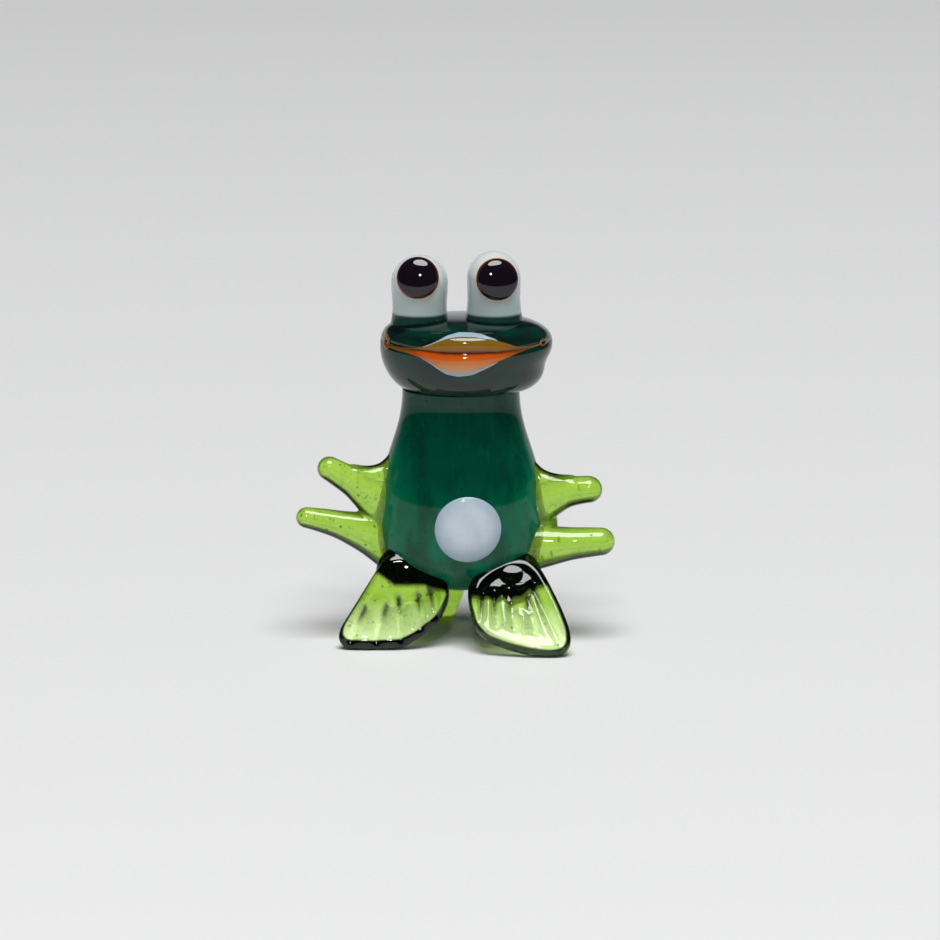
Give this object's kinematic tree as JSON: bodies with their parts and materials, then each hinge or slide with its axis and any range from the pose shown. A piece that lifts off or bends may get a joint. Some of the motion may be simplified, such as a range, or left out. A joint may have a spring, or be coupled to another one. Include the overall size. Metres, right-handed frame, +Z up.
{
  "type": "glass frog figurine",
  "caption": "Small upright frog figurine of lampworked glass with stalked eyes, a creased amber mouth, forked arms and pressed fan feet.",
  "frame": {"origin": "on the floor, under the middle of the figurine's bounding box", "axes": "+Z up, the frog faces -Y, +X is the right-hand side of a viewer who looks at its face"},
  "size_m": [0.0318, 0.0174, 0.0391],
  "materials": {
    "emerald_glass": "transparent emerald green, fire polished",
    "smoky_teal_glass": "transparent smoky teal, fire polished",
    "milk_glass": "milky white, slightly translucent, fire polished",
    "dark_violet_glass": "almost black violet, fire polished",
    "white_glass": "opaque bluish white, fire polished",
    "amber_glass": "transparent amber, fire polished",
    "lime_glass": "transparent lime green with fine dark seed, fire polished"
  },
  "bodies": {
    "root": {"torso": "emerald_glass", "head": "smoky_teal_glass", "eye_left": "milk_glass", "eye_right": "milk_glass", "pupil_left": "dark_violet_glass", "pupil_right": "dark_violet_glass", "mouth_white": "white_glass", "mouth_amber": "amber_glass", "belly_spot": "white_glass", "arm_left": "lime_glass", "arm_right": "lime_glass", "foot_left": "lime_glass", "foot_right": "lime_glass", "tail_prop": "lime_glass"}
  },
  "joints": []
}
